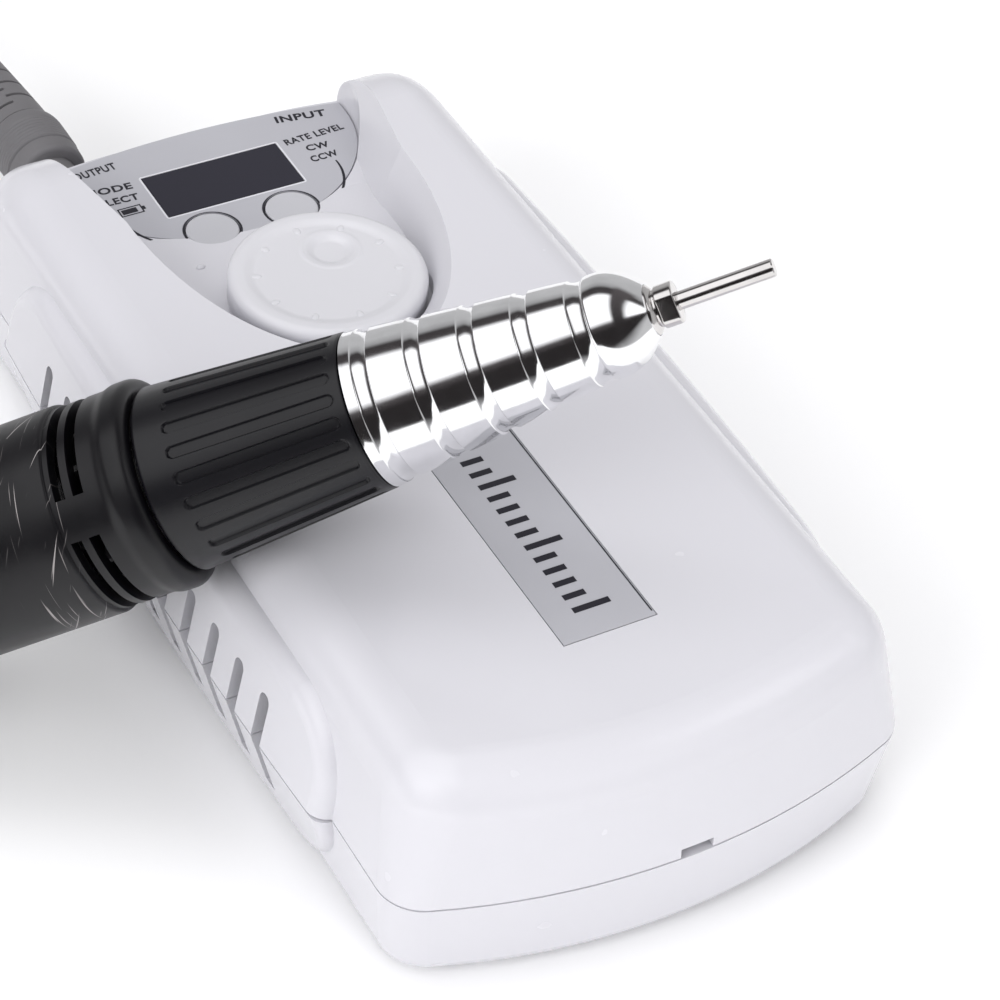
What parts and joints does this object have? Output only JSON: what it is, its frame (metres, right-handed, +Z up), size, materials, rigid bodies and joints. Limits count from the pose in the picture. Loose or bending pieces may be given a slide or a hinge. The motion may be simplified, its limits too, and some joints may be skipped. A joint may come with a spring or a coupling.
{
  "type": "electric nail drill",
  "caption": "Portable electric nail drill: white control box with scooped panel, small display, keys and speed knob; pen-shaped handpiece leaning on it, coiled cord and plug.",
  "frame": {"origin": "plan centre of the control box on the plane its feet stand on", "axes": "+X to the right of a person reading the panel, +Y towards the end with the two sockets, +Z up"},
  "size_m": [0.1913, 0.2295, 0.0822],
  "materials": {
    "shell_white": "gloss",
    "control_white": "gloss",
    "label_silver": "satin",
    "lcd_dark": "gloss",
    "black_plastic": "matte",
    "circuit_board": "satin",
    "cell_wrap": "satin",
    "nickel": "satin",
    "steel": "satin",
    "lead_red": "satin",
    "plug_grey": "matte",
    "boot_black": "matte",
    "cord_grey": "matte",
    "barrel_black": "satin",
    "grip_black": "gloss",
    "magnet": "matte",
    "copper": "satin",
    "aluminium": "satin",
    "nose_chrome": "polished",
    "bit_steel": "polished",
    "foot_rubber": "matte"
  },
  "bodies": {
    "case": {"top_shell": "shell_white", "bottom_shell": "shell_white", "rubber_feet": "foot_rubber", "case_screws": "steel", "panel_overlay": "label_silver", "lcd_window": "lcd_dark", "lcd_module": "black_plastic", "tact_switches": "black_plastic", "speed_pot": "steel", "display_board": "circuit_board", "power_board": "circuit_board", "board_posts": "black_plastic", "board_header": "black_plastic", "drive_chips": "black_plastic", "motor_socket": "black_plastic", "charge_socket": "black_plastic", "battery_cells": "cell_wrap", "battery_tray": "black_plastic", "cell_links": "nickel", "battery_leads": "lead_red", "name_plate": "label_silver", "motor_plug_tip": "nickel", "motor_plug": "plug_grey", "motor_plug_boot": "plug_grey", "cord_from_plug": "cord_grey", "cord_coil": "cord_grey", "cord_to_handpiece": "cord_grey"},
    "knob": {"speed_knob": "control_white", "pot_shaft": "steel"},
    "mode_key": {"mode_button": "label_silver"},
    "direction_key": {"direction_button": "label_silver"},
    "handpiece": {"rear_housing": "barrel_black", "tail_cap": "barrel_black", "tail_boot": "boot_black", "motor_can": "steel", "motor_end_cap": "black_plastic", "motor_magnets": "magnet", "motor_leads": "lead_red", "spindle_housing": "aluminium", "rear_bearing": "nickel", "front_bearing": "nickel"},
    "sleeve": {"grip_sleeve": "grip_black", "nose_cone": "nose_chrome"},
    "lock_ring": {"lock_pusher": "steel"},
    "spindle_unit": {"motor_rotor": "copper", "motor_shaft": "steel", "cooling_fan": "black_plastic", "drive_coupling": "foot_rubber", "spindle": "steel", "collet": "steel", "collet_spring": "steel"},
    "bit": {"bit_shank": "bit_steel"}
  },
  "joints": [
    {"name": "knob_turn", "type": "hinge", "parent": "case", "child": "knob", "pos_m": [0, 0.0268, 0.0338], "axis": [0, 0, 1], "range_deg": [-140, 140]},
    {"name": "mode_key_press", "type": "slide", "parent": "case", "child": "mode_key", "axis": [0, 0, -1], "range_m": [0, 0.00035], "stiffness_N_per_m": 1200, "springref_m": -0.0002},
    {"name": "direction_key_press", "type": "slide", "parent": "case", "child": "direction_key", "axis": [0, 0, -1], "range_m": [0, 0.00035], "stiffness_N_per_m": 1200, "springref_m": -0.0002},
    {"name": "handpiece_lift", "type": "slide", "parent": "case", "child": "handpiece", "axis": [0, 0, 1], "range_m": [0, 0.025]},
    {"name": "sleeve_twist", "type": "hinge", "parent": "handpiece", "child": "sleeve", "pos_m": [-0.02004, -0.0255, 0.05631], "axis": [0.7885, -0.407, 0.4611], "range_deg": [0, 50]},
    {"name": "lock_slide", "type": "slide", "parent": "handpiece", "child": "lock_ring", "axis": [0.7885, -0.407, 0.4611], "range_m": [0, 0.0012]},
    {"name": "spindle_spin", "type": "hinge", "parent": "handpiece", "child": "spindle_unit", "pos_m": [0.01206, -0.04207, 0.07508], "axis": [0.7885, -0.407, 0.4611], "continuous": true},
    {"name": "bit_pull", "type": "slide", "parent": "spindle_unit", "child": "bit", "axis": [0.7885, -0.407, 0.4611], "range_m": [0, 0.03]}
  ],
  "couplings": [
    {"joint": "lock_slide", "follows": "sleeve_twist", "m_per_rad": 0.0013751}
  ]
}
